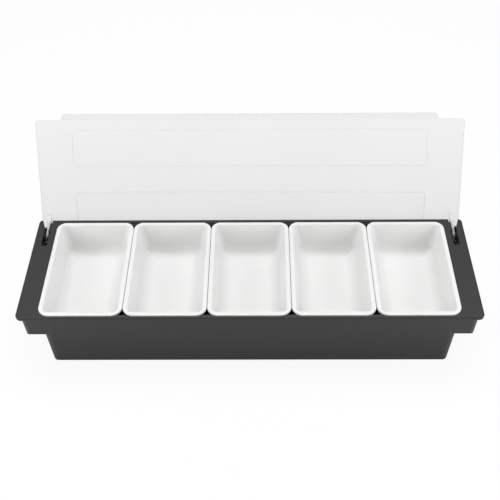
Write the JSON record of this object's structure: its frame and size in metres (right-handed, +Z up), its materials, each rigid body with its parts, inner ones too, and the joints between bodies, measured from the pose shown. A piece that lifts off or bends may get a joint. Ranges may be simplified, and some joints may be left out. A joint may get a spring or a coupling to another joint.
{
  "type": "condiment caddy with flip lid",
  "caption": "Long tray with grip wings, a row of lift-out inserts with wide rims and a clear flip lid on two hinge arms, shown open.",
  "frame": {"origin": "on the tray's underside, below the middle of the flange", "axes": "+X along the tray to the user's right, +Y to the hinge side at the back, +Z up"},
  "size_m": [0.492, 0.2194, 0.183],
  "materials": {
    "tray_plastic": "fine-grained charcoal plastic",
    "insert_plastic": "smooth white plastic",
    "lid_plastic": "clear plastic, faintly grey",
    "pin_plastic": "black plastic"
  },
  "bodies": {
    "tray": {"tray": "tray_plastic", "hinge_pin_left": "pin_plastic", "hinge_pin_right": "pin_plastic"},
    "lid": {"lid": "lid_plastic"},
    "insert_1": {"insert_1": "insert_plastic"},
    "insert_2": {"insert_2": "insert_plastic"},
    "insert_3": {"insert_3": "insert_plastic"},
    "insert_4": {"insert_4": "insert_plastic"},
    "insert_5": {"insert_5": "insert_plastic"}
  },
  "joints": [
    {"name": "lid_hinge", "type": "hinge", "parent": "tray", "child": "lid", "pos_m": [0, 0.0558, 0.0704], "axis": [-1, 0, 0], "range_deg": [-122.5, 0]},
    {"name": "insert_1_lift", "type": "slide", "parent": "tray", "child": "insert_1", "axis": [0, 0, 1], "range_m": [0, 0.06]},
    {"name": "insert_2_lift", "type": "slide", "parent": "tray", "child": "insert_2", "axis": [0, 0, 1], "range_m": [0, 0.06]},
    {"name": "insert_3_lift", "type": "slide", "parent": "tray", "child": "insert_3", "axis": [0, 0, 1], "range_m": [0, 0.06]},
    {"name": "insert_4_lift", "type": "slide", "parent": "tray", "child": "insert_4", "axis": [0, 0, 1], "range_m": [0, 0.06]},
    {"name": "insert_5_lift", "type": "slide", "parent": "tray", "child": "insert_5", "axis": [0, 0, 1], "range_m": [0, 0.06]}
  ]
}
